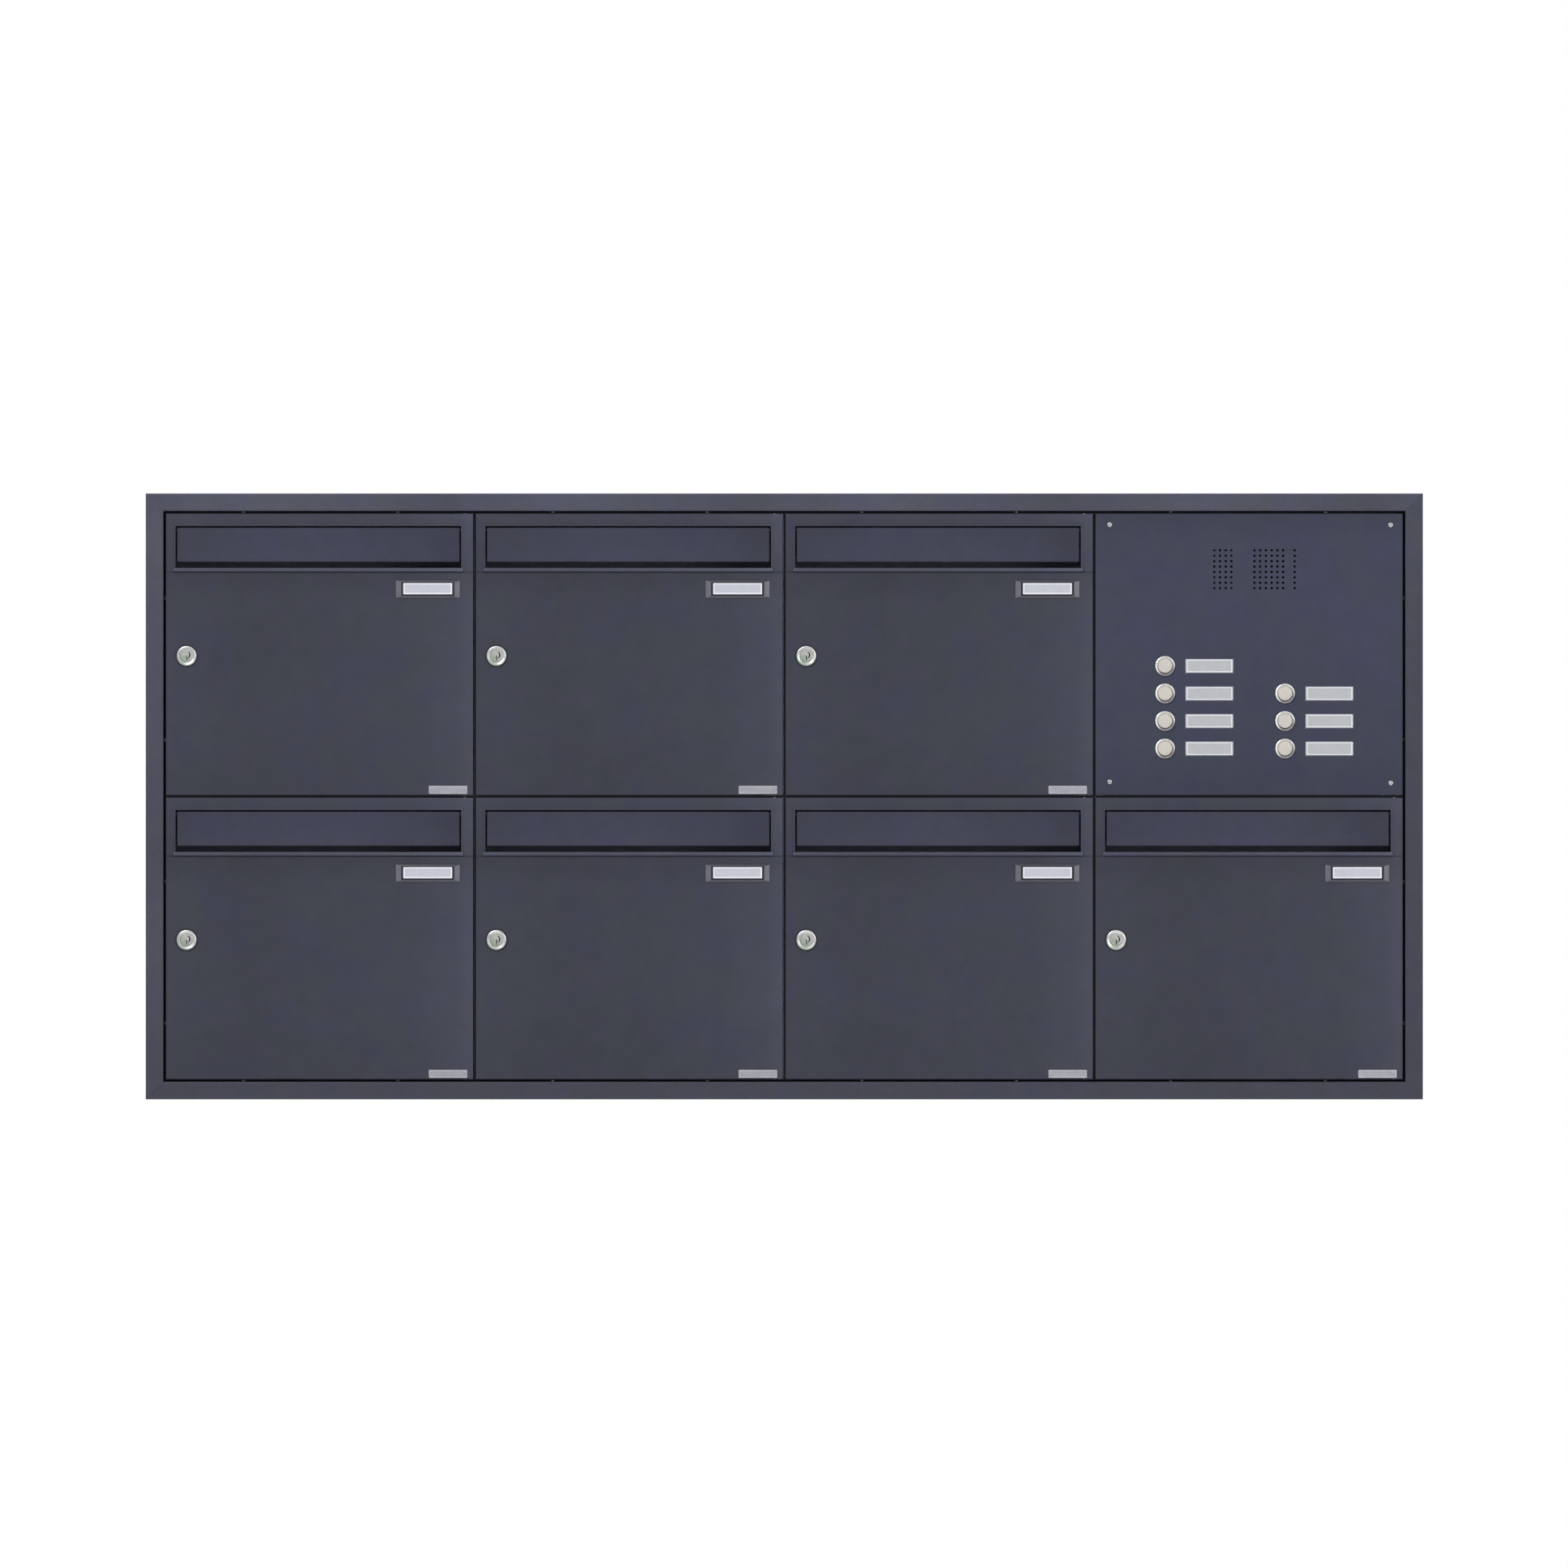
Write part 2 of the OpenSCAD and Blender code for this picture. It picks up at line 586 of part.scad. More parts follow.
module terminal_board() color("#2f6b45") in_bell() {
  blk(100, 220, -10.6, -9, -190, -120);
  // screw terminals
  for (x = [112, 150, 188]) difference() {
    blk(x, x + 30, -22, -10.6 + e, -186, -176);
    for (t = [0:3]) ycyl(x + 4.5 + 7 * t, -181, -23, -18, 2.2, 24);
  }
  blk(120, 200, -20, -10.6 + e, -150, -132);
}

module cable_grommet() color("#1f2022") in_bell() yrev(180, -270, -6) {
  translate([6, 5]) square([4, 1]);
  translate([6, 0.6]) square([7, 4.4]);
  translate([6.6, 0]) square([5.8, 1]);
}

// ---------- nodes ----------

surround_frame();
mailbox_shell(1);  // mailbox_shell_1
mailbox_shell(2);  // mailbox_shell_2
mailbox_shell(3);  // mailbox_shell_3
mailbox_shell(4);  // mailbox_shell_4
mailbox_shell(5);  // mailbox_shell_5
mailbox_shell(6);  // mailbox_shell_6
mailbox_shell(7);  // mailbox_shell_7
door_panel(1);  // door_panel_1
door_panel(2);  // door_panel_2
door_panel(3);  // door_panel_3
door_panel(4);  // door_panel_4
door_panel(5);  // door_panel_5
door_panel(6);  // door_panel_6
door_panel(7);  // door_panel_7
letter_flap(1);  // letter_flap_1
letter_flap(2);  // letter_flap_2
letter_flap(3);  // letter_flap_3
letter_flap(4);  // letter_flap_4
letter_flap(5);  // letter_flap_5
letter_flap(6);  // letter_flap_6
letter_flap(7);  // letter_flap_7
lock_barrel(1);  // lock_barrel_1
lock_barrel(2);  // lock_barrel_2
lock_barrel(3);  // lock_barrel_3
lock_barrel(4);  // lock_barrel_4
lock_barrel(5);  // lock_barrel_5
lock_barrel(6);  // lock_barrel_6
lock_barrel(7);  // lock_barrel_7
lock_cylinder(1);  // lock_cylinder_1
lock_cylinder(2);  // lock_cylinder_2
lock_cylinder(3);  // lock_cylinder_3
lock_cylinder(4);  // lock_cylinder_4
lock_cylinder(5);  // lock_cylinder_5
lock_cylinder(6);  // lock_cylinder_6
lock_cylinder(7);  // lock_cylinder_7
name_plate(1);  // name_plate_1
name_plate(2);  // name_plate_2
name_plate(3);  // name_plate_3
name_plate(4);  // name_plate_4
name_plate(5);  // name_plate_5
name_plate(6);  // name_plate_6
name_plate(7);  // name_plate_7
bell_button(1);  // bell_button_1
bell_button(2);  // bell_button_2
bell_button(3);  // bell_button_3
bell_button(4);  // bell_button_4
bell_button(5);  // bell_button_5
bell_button(6);  // bell_button_6
bell_button(7);  // bell_button_7
door_hinge_pins();
coupling_bolts();
intercom_back_box();
intercom_panel();
panel_screws();
bell_button_housings();
bell_name_windows();
speech_module();
terminal_board();
cable_grommet();
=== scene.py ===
"""Looks of the cluster mailbox unit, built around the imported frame. All lengths are metres unless a name ends in _mm."""
import math

import bmesh
import bpy
from mathutils import Matrix, Vector


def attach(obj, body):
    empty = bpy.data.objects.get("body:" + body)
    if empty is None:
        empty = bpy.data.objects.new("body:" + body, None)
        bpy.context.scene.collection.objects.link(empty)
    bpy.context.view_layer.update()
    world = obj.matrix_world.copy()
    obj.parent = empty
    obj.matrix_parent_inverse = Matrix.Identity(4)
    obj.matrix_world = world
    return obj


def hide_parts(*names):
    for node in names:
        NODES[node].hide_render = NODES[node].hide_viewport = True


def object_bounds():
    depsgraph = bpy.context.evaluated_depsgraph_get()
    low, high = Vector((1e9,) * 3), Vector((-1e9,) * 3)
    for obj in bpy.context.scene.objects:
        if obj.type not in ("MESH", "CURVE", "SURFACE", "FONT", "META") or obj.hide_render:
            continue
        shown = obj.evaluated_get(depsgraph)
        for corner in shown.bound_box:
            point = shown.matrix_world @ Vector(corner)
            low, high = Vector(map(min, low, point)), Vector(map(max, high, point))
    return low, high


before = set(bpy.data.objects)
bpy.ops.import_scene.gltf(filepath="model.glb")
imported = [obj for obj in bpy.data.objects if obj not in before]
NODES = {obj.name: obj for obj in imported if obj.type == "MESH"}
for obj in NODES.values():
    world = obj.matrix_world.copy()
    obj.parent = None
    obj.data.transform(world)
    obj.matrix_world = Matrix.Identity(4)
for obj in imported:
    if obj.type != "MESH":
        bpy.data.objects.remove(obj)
cad_lo, cad_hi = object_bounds()

# ------------------------------------------------------------------ layout
MW, MH = 0.360, 0.330                     # module pitch
YF = -0.100                               # door face
COL = {1: 0, 2: 1, 3: 2, 4: 0, 5: 1, 6: 2, 7: 3}
ROW = {1: 0, 2: 0, 3: 0, 4: 1, 5: 1, 6: 1, 7: 1}


def cell(c, r):
    """Left edge and top edge of a module."""
    return -2 * MW + c * MW, MH - r * MH


# ------------------------------------------------------------------ camera
scene = bpy.context.scene
cam_data = bpy.data.cameras.new("camera")
cam_data.lens = 200.0
cam_data.sensor_width = 36.0
cam = bpy.data.objects.new("camera", cam_data)
scene.collection.objects.link(cam)
VIEW_W = 1.8220                           # width of the picture in the plane of the doors
cam.location = (-0.00035, YF - VIEW_W * 200.0 / 36.0, 0.01445)
cam.rotation_euler = (math.radians(90), 0, 0)
cam_data.clip_end = 100
scene.camera = cam
scene.view_settings.view_transform = "Standard"

# ------------------------------------------------------------------ mesh tools


def link(obj, body):
    scene.collection.objects.link(obj)
    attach(obj, body)
    return obj


def loop(hw, hh, r, seg=4):
    """Rounded rectangle as a list of (x, z), counter-clockwise seen from the front (-Y)."""
    r = max(min(r, hw * 0.999, hh * 0.999), 1e-6)
    pts = []
    for cx, cz, a0 in ((hw - r, hh - r, 0), (-hw + r, hh - r, 90), (-hw + r, -hh + r, 180), (hw - r, -hh + r, 270)):
        for k in range(seg + 1):
            a = math.radians(a0 + 90.0 * k / seg)
            pts.append((cx + r * math.cos(a), cz + r * math.sin(a)))
    return pts


def stack(bm, rings, cx, cz, seg=4, mats=None, cap_first=True, cap_last=True, smooth=None):
    """Joins rounded rectangles (half width, half height, corner radius, y) one after the other. mats gives each band's material, and the last cap's."""
    made = []
    for hw, hh, r, y in rings:
        made.append([bm.verts.new((cx + x, y, cz + z)) for x, z in loop(hw, hh, r, seg)])
    n = len(made[0])
    for k in range(len(made) - 1):
        for i in range(n):
            j = (i + 1) % n
            f = bm.faces.new((made[k][i], made[k][j], made[k + 1][j], made[k + 1][i]))
            f.material_index = mats[k] if mats else 0
            f.smooth = bool(smooth and smooth[k])
    if cap_first:
        f = bm.faces.new(list(reversed(made[0])))
        f.material_index = mats[0] if mats else 0
    if cap_last:
        f = bm.faces.new(made[-1])
        f.material_index = mats[-1] if mats else 0
    return made


def spin(bm, profile, cx, cz, n=64, mat=0, close_first=True, close_last=True, smooth=True, mats=None):
    """Revolves (radius, y) points about an axis along Y through (cx, cz)."""
    made = []
    for r, y in profile:
        if r < 1e-7:
            made.append([bm.verts.new((cx, y, cz))])
        else:
            made.append([bm.verts.new((cx + r * math.cos(2 * math.pi * i / n), y, cz + r * math.sin(2 * math.pi * i / n))) for i in range(n)])
    for k in range(len(made) - 1):
        a, b = made[k], made[k + 1]
        for i in range(n):
            j = (i + 1) % n
            if len(a) == 1 and len(b) == 1:
                continue
            if len(a) == 1:
                f = bm.faces.new((a[0], b[j], b[i]))
            elif len(b) == 1:
                f = bm.faces.new((a[i], a[j], b[0]))
            else:
                f = bm.faces.new((a[i], a[j], b[j], b[i]))
            f.smooth = smooth
            f.material_index = mats[k] if mats else mat
    for ring, first in ((made[0], True), (made[-1], False)):
        if len(ring) > 2 and (close_first if first else close_last):
            f = bm.faces.new(list(reversed(ring)) if first else ring)
            f.material_index = (mats[0] if first else mats[-1]) if mats else mat
    return made


def finish_mesh(name, bm, mats, body, auto=35.0):
    bmesh.ops.recalc_face_normals(bm, faces=bm.faces)
    me = bpy.data.meshes.new(name)
    bm.to_mesh(me)
    bm.free()
    for m in mats:
        me.materials.append(m)
    sharpen(me, auto)
    return link(bpy.data.objects.new(name, me), body)


def sharpen(me, angle):
    """Smooth faces, with edges steeper than angle kept sharp."""
    bm = bmesh.new()
    bm.from_mesh(me)
    for f in bm.faces:
        f.smooth = True
    for e in bm.edges:
        if len(e.link_faces) == 2:
            e.smooth = e.calc_face_angle(0.0) < math.radians(angle)
        else:
            e.smooth = False
    bm.to_mesh(me)
    bm.free()


# ------------------------------------------------------------------ material tools


class Mat:
    """A node material with a few shorthands."""

    def __init__(self, name):
        self.m = bpy.data.materials.new(name)
        self.m.use_nodes = True
        self.nt = self.m.node_tree
        self.b = self.nt.nodes["Principled BSDF"]
        self.co = self.nt.nodes.new("ShaderNodeTexCoord").outputs["Object"]

    def n(self, kind, **kw):
        node = self.nt.nodes.new(kind)
        for k, v in kw.items():
            setattr(node, k, v)
        return node

    def link(self, a, b):
        self.nt.links.new(a, b)

    def noise(self, scale, detail=2.0, rough=0.5, vec=None, out="Fac"):
        node = self.n("ShaderNodeTexNoise")
        node.inputs["Scale"].default_value = scale
        node.inputs["Detail"].default_value = detail
        node.inputs["Roughness"].default_value = rough
        self.link(vec or self.co, node.inputs["Vector"])
        return node.outputs[out]

    def voronoi(self, scale, feature="F1", vec=None, out="Distance", rand=1.0):
        node = self.n("ShaderNodeTexVoronoi", feature=feature)
        node.inputs["Scale"].default_value = scale
        node.inputs["Randomness"].default_value = rand
        self.link(vec or self.co, node.inputs["Vector"])
        return node.outputs[out]

    def stretch(self, sx, sy, sz, vec=None, off=(0, 0, 0)):
        node = self.n("ShaderNodeMapping")
        node.inputs["Scale"].default_value = (sx, sy, sz)
        node.inputs["Location"].default_value = off
        self.link(vec or self.co, node.inputs["Vector"])
        return node.outputs["Vector"]

    def span(self, value, a, b, lo, hi, smooth=True):
        node = self.n("ShaderNodeMapRange", interpolation_type="SMOOTHSTEP" if smooth else "LINEAR")
        node.inputs["From Min"].default_value = a
        node.inputs["From Max"].default_value = b
        node.inputs["To Min"].default_value = lo
        node.inputs["To Max"].default_value = hi
        self.link(value, node.inputs["Value"])
        return node.outputs["Result"]

    def math(self, op, a, b=None, c=None):
        node = self.n("ShaderNodeMath", operation=op)
        for i, v in enumerate((a, b, c)):
            if v is None:
                continue
            if isinstance(v, (int, float)):
                node.inputs[i].default_value = v
            else:
                self.link(v, node.inputs[i])
        return node.outputs[0]

    def ramp(self, value, stops):
        node = self.n("ShaderNodeValToRGB")
        cr = node.color_ramp
        while len(cr.elements) < len(stops):
            cr.elements.new(0.5)
        for e, (p, c) in zip(cr.elements, stops):
            e.position = p
            e.color = (*c, 1)
        self.link(value, node.inputs["Fac"])
        return node.outputs["Color"]

    def mix(self, fac, a, b, kind="MIX"):
        node = self.n("ShaderNodeMix", data_type="RGBA", blend_type=kind)
        a_s = [s for s in node.inputs if s.name == "A" and s.type == "RGBA"][0]
        b_s = [s for s in node.inputs if s.name == "B" and s.type == "RGBA"][0]
        for sock, v in ((node.inputs[0], fac), (a_s, a), (b_s, b)):
            if isinstance(v, (int, float)):
                sock.default_value = v
            elif isinstance(v, tuple):
                sock.default_value = (*v, 1) if len(v) == 3 else v
            else:
                self.link(v, sock)
        return [s for s in node.outputs if s.type == "RGBA"][0]

    def scale_colour(self, colour, value):
        """colour times a number from nodes."""
        node = self.n("ShaderNodeVectorMath", operation="SCALE")
        if isinstance(colour, tuple):
            node.inputs[0].default_value = colour
        else:
            self.link(colour, node.inputs[0])
        self.link(value, node.inputs["Scale"])
        return node.outputs[0]

    def xyz(self, vec=None):
        node = self.n("ShaderNodeSeparateXYZ")
        self.link(vec or self.co, node.inputs[0])
        return node.outputs

    def bump(self, height, strength, distance, normal=None):
        node = self.n("ShaderNodeBump")
        node.inputs["Strength"].default_value = strength
        node.inputs["Distance"].default_value = distance
        self.link(height, node.inputs["Height"])
        if normal is not None:
            self.link(normal, node.inputs["Normal"])
        return node.outputs["Normal"]

    def to(self, socket, value):
        s = self.b.inputs[socket]
        if isinstance(value, (int, float)):
            s.default_value = value
        elif isinstance(value, tuple):
            s.default_value = (*value, 1) if len(value) == 3 and s.type == "RGBA" else value
        else:
            self.link(value, s)
        return self


# ------------------------------------------------------------------ where a point lies in its module


def module_uv(m):
    """(u, v): metres from the left and from the top boundary of the module a point lies in."""
    x, y, z = m.xyz()
    u = m.math("FLOORED_MODULO", m.math("ADD", x, 2 * MW), MW)
    v = m.math("FLOORED_MODULO", m.math("SUBTRACT", MH, z), MH)
    return u, v


def curve(m, value, length, stops):
    """Smooth grey factor along value, from 0 to length; the factors are up to 2."""
    pos = m.math("DIVIDE", value, length)
    node = m.n("ShaderNodeValToRGB")
    cr = node.color_ramp
    cr.interpolation = "EASE"
    while len(cr.elements) < len(stops):
        cr.elements.new(0.5)
    for e, (p, f) in zip(cr.elements, stops):
        e.position = p
        e.color = (f / 2, f / 2, f / 2, 1)
    m.link(pos, node.inputs["Fac"])
    sep = m.n("ShaderNodeSeparateColor")
    m.link(node.outputs["Color"], sep.inputs[0])
    return m.math("MULTIPLY", sep.outputs[0], 2.0)


def multiply(m, *values):
    out = values[0]
    for v in values[1:]:
        out = m.math("MULTIPLY", out, v)
    return out


# ------------------------------------------------------------------ materials


def inside_boxes(m):
    """1 on the inner faces of the boxes, 0 on their outer faces and front edges."""
    u, v = module_uv(m)
    y = m.xyz()[1]
    out = m.math("MULTIPLY", m.math("GREATER_THAN", y, -0.0884), m.math("LESS_THAN", y, -0.0006))
    for a, size in ((u, MW), (v, MH)):
        out = m.math("MULTIPLY", out, m.math("GREATER_THAN", m.math("MINIMUM", a, m.math("SUBTRACT", size, a)), 0.0006))
    return out


def powder_coat(name, base, tone=None, rough=0.5, weld=False):
    """Fine-textured powder coat: a pebbled skin, a slight unevenness in tone and gloss."""
    m = Mat(name)
    grain = m.noise(420.0, 2.0, 0.55)
    cloud = m.noise(55.0, 3.0, 0.55)
    broad = m.noise(7.0, 2.0, 0.5)
    t = m.math("ADD", m.span(grain, 0.3, 0.7, -0.055, 0.055, False), m.span(cloud, 0.3, 0.7, -0.05, 0.05, False))
    t = m.math("ADD", t, m.span(broad, 0.3, 0.7, -0.03, 0.03, False))
    t = m.math("ADD", t, 1.0)
    # tone multiplies painted light and shade into the base colour
    if tone is not None:
        t = m.math("MULTIPLY", t, tone(m))
    # patches a shade bluer, as a thin coat is over a bright primer
    hue = m.mix(m.span(m.noise(24.0, 3.0, 0.6), 0.42, 0.62, 0.0, 1.0), base, (base[0] * 0.985, base[1] * 0.965, base[2] * 1.10))
    if weld:
        # the boxes are coated light grey inside
        hue = m.mix(inside_boxes(m), hue, (0.375, 0.42, 0.52))
        # on the rear and the outer sides, where the rounded folds of neighbouring boxes meet, painted shade darkens the
        # seam
        u, v = module_uv(m)
        near = m.math("MINIMUM", m.math("MINIMUM", u, m.math("SUBTRACT", MW, u)), m.math("MINIMUM", v, m.math("SUBTRACT", MH, v)))
        rear = m.math("GREATER_THAN", m.xyz()[1], -0.0004)
        painted_seam_shade = m.math("MAXIMUM", m.span(near, 0.0004, 0.0017, 0.22, 1.0), m.math("SUBTRACT", 1.0, rear))
        t = m.math("MULTIPLY", t, painted_seam_shade)
    m.to("Base Color", m.scale_colour(hue, t))
    m.to("Roughness", m.math("ADD", m.span(m.noise(160.0, 3.0, 0.6), 0.3, 0.7, rough - 0.05, rough + 0.05, False), 0.0))
    m.b.inputs["Specular IOR Level"].default_value = 0.30
    skin = m.math("ADD", m.noise(1500.0, 2.0, 0.5), m.math("MULTIPLY", m.voronoi(900.0, "SMOOTH_F1"), 0.6))
    normal = m.bump(skin, 0.22, 0.00012)
    if weld:
        # rows of spot welds 8 mm inside the module's edges, on the faces that look forwards or back
        u, v = module_uv(m)
        geo = m.n("ShaderNodeNewGeometry")
        ny = m.math("ABSOLUTE", m.xyz(geo.outputs["Normal"])[1])
        spots = None
        for a, size, b in ((u, MW, v), (v, MH, u)):
            edge = m.math("SUBTRACT", m.math("MINIMUM", a, m.math("SUBTRACT", size, a)), 0.008)
            along = m.math("SUBTRACT", m.math("FLOORED_MODULO", m.math("ADD", b, 0.006), 0.0531), 0.02655)
            d = m.math("SQRT", m.math("ADD", m.math("MULTIPLY", edge, edge), m.math("MULTIPLY", along, along)))
            s = m.span(d, 0.0016, 0.0028, 0.0, 1.0)
            spots = s if spots is None else m.math("MULTIPLY", spots, s)
        masked = m.math("MAXIMUM", spots, m.span(ny, 0.8, 0.95, 1.0, 0.0))
        normal = m.bump(masked, 0.6, 0.0004, normal)
    m.to("Normal", normal)
    return m.m


LIP_V = 0.0689                            # lower edge of the lip under the slot, from the module's top


def lock_centre(m):
    u, v = module_uv(m)
    return m.math("SUBTRACT", u, 0.0255), m.math("SUBTRACT", v, 0.1667)


def door_painted_light(m):
    u, v = module_uv(m)
    # painted light and shade: slow brightness gradients across and down each door, with a painted highlight along the
    # right edge and the top
    across = curve(m, u, MW, [(0.0, 1.04), (0.06, 1.02), (0.25, 0.95), (0.5, 1.00), (0.77, 1.06), (0.93, 1.24), (0.985, 1.42)])
    down = curve(m, v, MH, [(0.0, 1.10), (0.05, 1.02), (0.20, 0.93), (0.225, 0.88), (0.33, 1.00), (0.7, 1.01), (0.93, 0.95), (1.0, 0.93)])
    # painted highlight: the folded lip under the flap stands proud and is painted 1.75 times lighter
    lip_painted_highlight = m.span(m.xyz()[1], YF - 0.0016, YF - 0.0004, 1.75, 1.0)
    # painted shade: darker in the corner under the lip and in a ring around the lock
    painted_shade_under_lip = m.span(v, LIP_V, LIP_V + 0.0026, 0.45, 1.0)
    painted_shade_under_lip = m.math("MAXIMUM", painted_shade_under_lip, m.math("LESS_THAN", v, LIP_V - 0.0002))
    # painted shade in a ring around the lock
    dx, dz = lock_centre(m)
    r = m.math("SQRT", m.math("ADD", m.math("MULTIPLY", dx, dx), m.math("MULTIPLY", dz, dz)))
    return multiply(m, across, down, lip_painted_highlight, painted_shade_under_lip, m.span(r, 0.0118, 0.0142, 0.55, 1.0))


def flap_painted_light(m):
    u, v = module_uv(m)
    # painted light and shade: slow brightness gradients across and down each flap
    across = curve(m, u, MW, [(0.03, 0.93), (0.15, 1.0), (0.5, 1.10), (0.78, 1.0), (0.95, 0.86)])
    down = curve(m, v, MH, [(0.05, 0.97), (0.10, 0.99), (0.16, 1.06), (0.18, 1.0)])
    return multiply(m, across, down)


def panel_painted_light(m):
    u, v = module_uv(m)
    # painted light and shade: the bell panel is darker towards its top and bottom
    across = curve(m, u, MW, [(0.0, 1.02), (0.2, 1.0), (0.6, 1.0), (1.0, 1.03)])
    down = curve(m, v, MH, [(0.0, 0.86), (0.12, 0.99), (0.4, 1.02), (0.8, 0.93), (1.0, 0.82)])
    return multiply(m, across, down)


def frame_painted_light(m):
    """Painted light and shade on the frame: the four mitred bars differ in tone, and the top, left and right bars
    change in tone along their length, brightest at the top and upper left.
    """
    x, y, z = m.xyz()
    hx, hz = 0.742, 0.352
    d_top = m.math("SUBTRACT", hz, z)
    d_bot = m.math("ADD", z, hz)
    d_left = m.math("ADD", x, hx)
    d_right = m.math("SUBTRACT", hx, x)
    side = m.math("MINIMUM", d_left, d_right)
    flat = m.math("MINIMUM", d_top, d_bot)
    horizontal = m.math("LESS_THAN", flat, side)
    upright = m.math("SUBTRACT", 1.0, horizontal)
    top = m.math("MULTIPLY", horizontal, m.math("GREATER_THAN", z, 0.0))
    bottom = m.math("MULTIPLY", horizontal, m.math("LESS_THAN", z, 0.0))
    left = m.math("MULTIPLY", upright, m.math("LESS_THAN", x, 0.0))
    right = m.math("MULTIPLY", upright, m.math("GREATER_THAN", x, 0.0))
    u, _ = module_uv(m)
    along_top = curve(m, u, MW, [(0.0, 1.58), (0.3, 1.74), (0.6, 1.62), (0.9, 1.42), (1.0, 1.56)])
    down = m.math("SUBTRACT", hz, z)
    along_left = curve(m, down, 2 * hz, [(0.0, 1.66), (0.5, 1.40), (0.6, 1.30), (0.7, 1.44), (1.0, 1.20)])
    along_right = curve(m, down, 2 * hz, [(0.0, 1.34), (0.5, 1.18), (1.0, 1.12)])
    parts = [m.math("MULTIPLY", top, along_top), m.math("MULTIPLY", left, along_left), m.math("MULTIPLY", right, along_right), m.math("MULTIPLY", bottom, 1.12)]
    out = parts[0]
    for p in parts[1:]:
        out = m.math("ADD", out, p)
    return out


PAINT = (0.0375, 0.0410, 0.0585)
paint_door = powder_coat("powder_coat_doors", PAINT, door_painted_light)
paint_flap = powder_coat("powder_coat_flaps", (0.0375, 0.0400, 0.0640), flap_painted_light)
paint_panel = powder_coat("powder_coat_bell_panel", (0.0415, 0.0470, 0.0760), panel_painted_light, rough=0.47)
paint_frame = powder_coat("powder_coat_frame", (0.0405, 0.0433, 0.0590), frame_painted_light)
paint_inner = powder_coat("powder_coat_boxes", (0.050, 0.054, 0.072), weld=True)


def turned_metal(name, base, centre, rough=0.3, grooves=5200.0, light=(0.62, -0.78), painted_light_swing=0.16, shaded_side_tint=(0.9, 1.0, 0.9), depth=1.0):
    """Satin nickel, turned on a lathe: fine rings about the piece's own centre, which centre(m) returns as (dx, dz)."""
    m = Mat(name)
    dx, dz = centre(m)
    r = m.math("SQRT", m.math("ADD", m.math("MULTIPLY", dx, dx), m.math("MULTIPLY", dz, dz)))
    ring = m.n("ShaderNodeCombineXYZ")
    m.link(m.math("MULTIPLY", r, 1.0), ring.inputs[0])
    lines = m.noise(grooves, 2.0, 0.6, ring.outputs[0])
    wide = m.noise(900.0, 2.0, 0.5, ring.outputs[0])
    smear = m.noise(330.0, 3.0, 0.6)
    # painted light and shade: the face is lighter on the side toward the light direction, and darker and tinted on the
    # side away from it
    toward_painted_light = m.math("DIVIDE", m.math("ADD", m.math("MULTIPLY", dx, light[0]), m.math("MULTIPLY", dz, light[1])), m.math("MAXIMUM", r, 0.0004))
    side = m.span(toward_painted_light, -1.0, 1.0, 1.0 - painted_light_swing, 1.0 + painted_light_swing)
    t = m.math("MULTIPLY", m.span(lines, 0.25, 0.75, 0.93, 1.05, False), m.span(smear, 0.3, 0.7, 0.95, 1.04, False))
    t = m.math("MULTIPLY", m.math("MULTIPLY", t, m.span(wide, 0.3, 0.7, 0.96, 1.04, False)), side)
    # bores cut into the face are darkened with painted shade
    y = m.xyz()[1]
    bore_painted_shade = m.math("MAXIMUM", m.span(y, YF - 0.0024, YF - 0.0018, 1.0, depth), m.math("GREATER_THAN", y, YF + 0.008))
    t = m.math("MULTIPLY", t, bore_painted_shade)
    shaded_side_colour = tuple(b * k for b, k in zip(base, shaded_side_tint))
    hue = m.mix(m.span(toward_painted_light, -0.2, -0.9, 0.0, 1.0), base, shaded_side_colour)
    m.to("Base Color", m.scale_colour(hue, t))
    m.b.inputs["Metallic"].default_value = 1.0
    m.to("Roughness", m.span(smear, 0.3, 0.7, rough - 0.04, rough + 0.06, False))
    m.to("Normal", m.bump(lines, 0.35, 0.00006))
    return m.m


def bell_centre(m):
    u, v = module_uv(m)
    dx = m.math("SUBTRACT", m.math("FLOORED_MODULO", m.math("SUBTRACT", u, 0.0824 - 0.0697), 0.1394), 0.0697)
    dz = m.math("SUBTRACT", m.math("FLOORED_MODULO", m.math("SUBTRACT", v, 0.1784 - 0.016), 0.032), 0.016)
    return dx, dz


nickel_lock = turned_metal("nickel_lock", (0.74, 0.75, 0.74), lock_centre)
nickel_plug = turned_metal("nickel_plug", (0.69, 0.70, 0.67), lock_centre, rough=0.34, painted_light_swing=0.10, depth=0.05)
nickel_ring = turned_metal("nickel_bell_ring", (0.80, 0.80, 0.79), bell_centre, rough=0.28, painted_light_swing=0.24, light=(-0.3, -0.95), shaded_side_tint=(0.66, 0.63, 0.68))


def metal(name, base, rough, scale=(1, 1, 1), amount=0.07):
    """Plain satin metal with fine drawn lines along the long axis of scale."""
    m = Mat(name)
    vec = m.stretch(*scale)
    lines = m.noise(1400.0, 3.0, 0.6, vec)
    spots = m.noise(140.0, 3.0, 0.6)
    t = m.math("MULTIPLY", m.span(lines, 0.3, 0.7, 1 - amount, 1 + amount * 0.6, False), m.span(spots, 0.3, 0.7, 0.96, 1.03, False))
    m.to("Base Color", m.scale_colour(base, t))
    m.b.inputs["Metallic"].default_value = 1.0
    m.to("Roughness", m.span(spots, 0.3, 0.7, rough - 0.04, rough + 0.06, False))
    m.to("Normal", m.bump(lines, 0.25, 0.00004))
    return m.m


